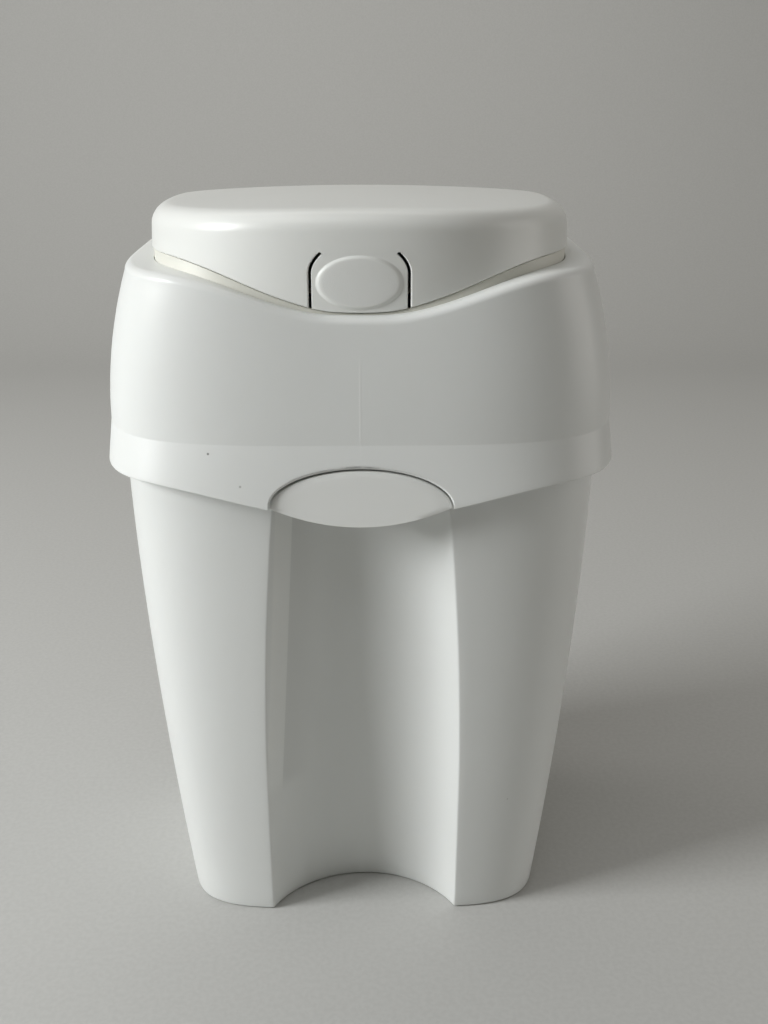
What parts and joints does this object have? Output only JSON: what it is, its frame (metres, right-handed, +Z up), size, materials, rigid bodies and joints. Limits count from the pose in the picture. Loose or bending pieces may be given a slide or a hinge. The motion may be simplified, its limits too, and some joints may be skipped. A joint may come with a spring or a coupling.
{
  "type": "nappy bin",
  "caption": "Free-standing nappy disposal bin with a tapered tub, front channel, hinged collar unit, pop-up lid with push button, turning film cassette and sprung flaps.",
  "frame": {"origin": "centre of the footprint of the whole bin, on the floor", "axes": "+Z up, -Y is the front with the badge and button, +X to the right seen from the front"},
  "size_m": [0.2998, 0.2536, 0.4514],
  "materials": {
    "tub_plastic": "moulded polypropylene, satin gloss",
    "collar_plastic": "moulded polypropylene, satin gloss",
    "badge_plastic": "moulded plastic, smooth, bare",
    "lid_plastic": "moulded polypropylene, satin gloss, slightly yellowed",
    "cream_plastic": "moulded polypropylene, satin gloss, yellowed",
    "frame_plastic": "moulded plastic, fine texture",
    "flap_plastic": "moulded plastic, fine texture",
    "ring_plastic": "moulded plastic, satin",
    "cassette_plastic": "moulded plastic, fine texture",
    "film": "thin pleated film",
    "seal_rubber": "soft seal, matt",
    "spring_steel": "drawn wire",
    "steel": "drawn steel, bright"
  },
  "bodies": {
    "root": {"tub": "tub_plastic", "rear_hinge_pins": "steel", "catch_springs": "spring_steel"},
    "badge": {"badge_catch": "badge_plastic"},
    "upper": {"collar": "collar_plastic", "mouth_ring": "cream_plastic", "upper_frame": "frame_plastic", "latch_keeper": "frame_plastic", "clamp_ring": "frame_plastic", "clamp_screws": "steel", "flap_pins": "steel", "flap_springs": "spring_steel", "film_cutter": "frame_plastic", "cutter_blade": "steel", "lid_hinge_pin": "steel"},
    "ring": {"turning_ring": "ring_plastic", "cassette_tub": "cassette_plastic", "film_pack": "film", "cassette_cover": "cassette_plastic"},
    "lid": {"lid_shell": "lid_plastic", "lid_liner": "cream_plastic", "lid_seal": "seal_rubber"},
    "button": {"lid_button": "lid_plastic"},
    "flap_front": {"flap_front": "flap_plastic"},
    "flap_right": {"flap_right": "flap_plastic"},
    "flap_rear": {"flap_rear": "flap_plastic"},
    "flap_left": {"flap_left": "flap_plastic"}
  },
  "joints": [
    {"name": "upper_hinge", "type": "hinge", "parent": "root", "child": "upper", "pos_m": [0, 0.11976, 0.3], "axis": [-1, 0, 0], "range_deg": [0, 75]},
    {"name": "badge_press", "type": "slide", "parent": "root", "child": "badge", "axis": [0, 1, 0], "range_m": [0, 0.003], "stiffness_N_per_m": 400, "springref_m": -0.003},
    {"name": "lid_hinge", "type": "hinge", "parent": "upper", "child": "lid", "pos_m": [0, 0.112, 0.427], "axis": [-1, 0, 0], "range_deg": [0, 95]},
    {"name": "button_flex", "type": "hinge", "parent": "lid", "child": "button", "pos_m": [0, -0.1135, 0.4285], "axis": [1, 0, 0], "range_deg": [0, 4], "stiffness_Nm_per_rad": 1.5, "springref_deg": -1.15},
    {"name": "ring_turn", "type": "hinge", "parent": "upper", "child": "ring", "pos_m": [0, 0, 0.334], "axis": [0, 0, 1], "continuous": true},
    {"name": "flap_front_swing", "type": "hinge", "parent": "upper", "child": "flap_front", "pos_m": [0, -0.066, 0.3245], "axis": [-1, 0, 0], "range_deg": [0, 65], "stiffness_Nm_per_rad": 0.03, "springref_deg": -22.92},
    {"name": "flap_right_swing", "type": "hinge", "parent": "upper", "child": "flap_right", "pos_m": [0.066, 0, 0.3245], "axis": [0, -1, 0], "range_deg": [0, 65], "stiffness_Nm_per_rad": 0.03, "springref_deg": -22.92},
    {"name": "flap_rear_swing", "type": "hinge", "parent": "upper", "child": "flap_rear", "pos_m": [0, 0.066, 0.3245], "axis": [1, 0, 0], "range_deg": [0, 65], "stiffness_Nm_per_rad": 0.03, "springref_deg": -22.92},
    {"name": "flap_left_swing", "type": "hinge", "parent": "upper", "child": "flap_left", "pos_m": [-0.066, 0, 0.3245], "axis": [0, 1, 0], "range_deg": [0, 65], "stiffness_Nm_per_rad": 0.03, "springref_deg": -22.92}
  ]
}
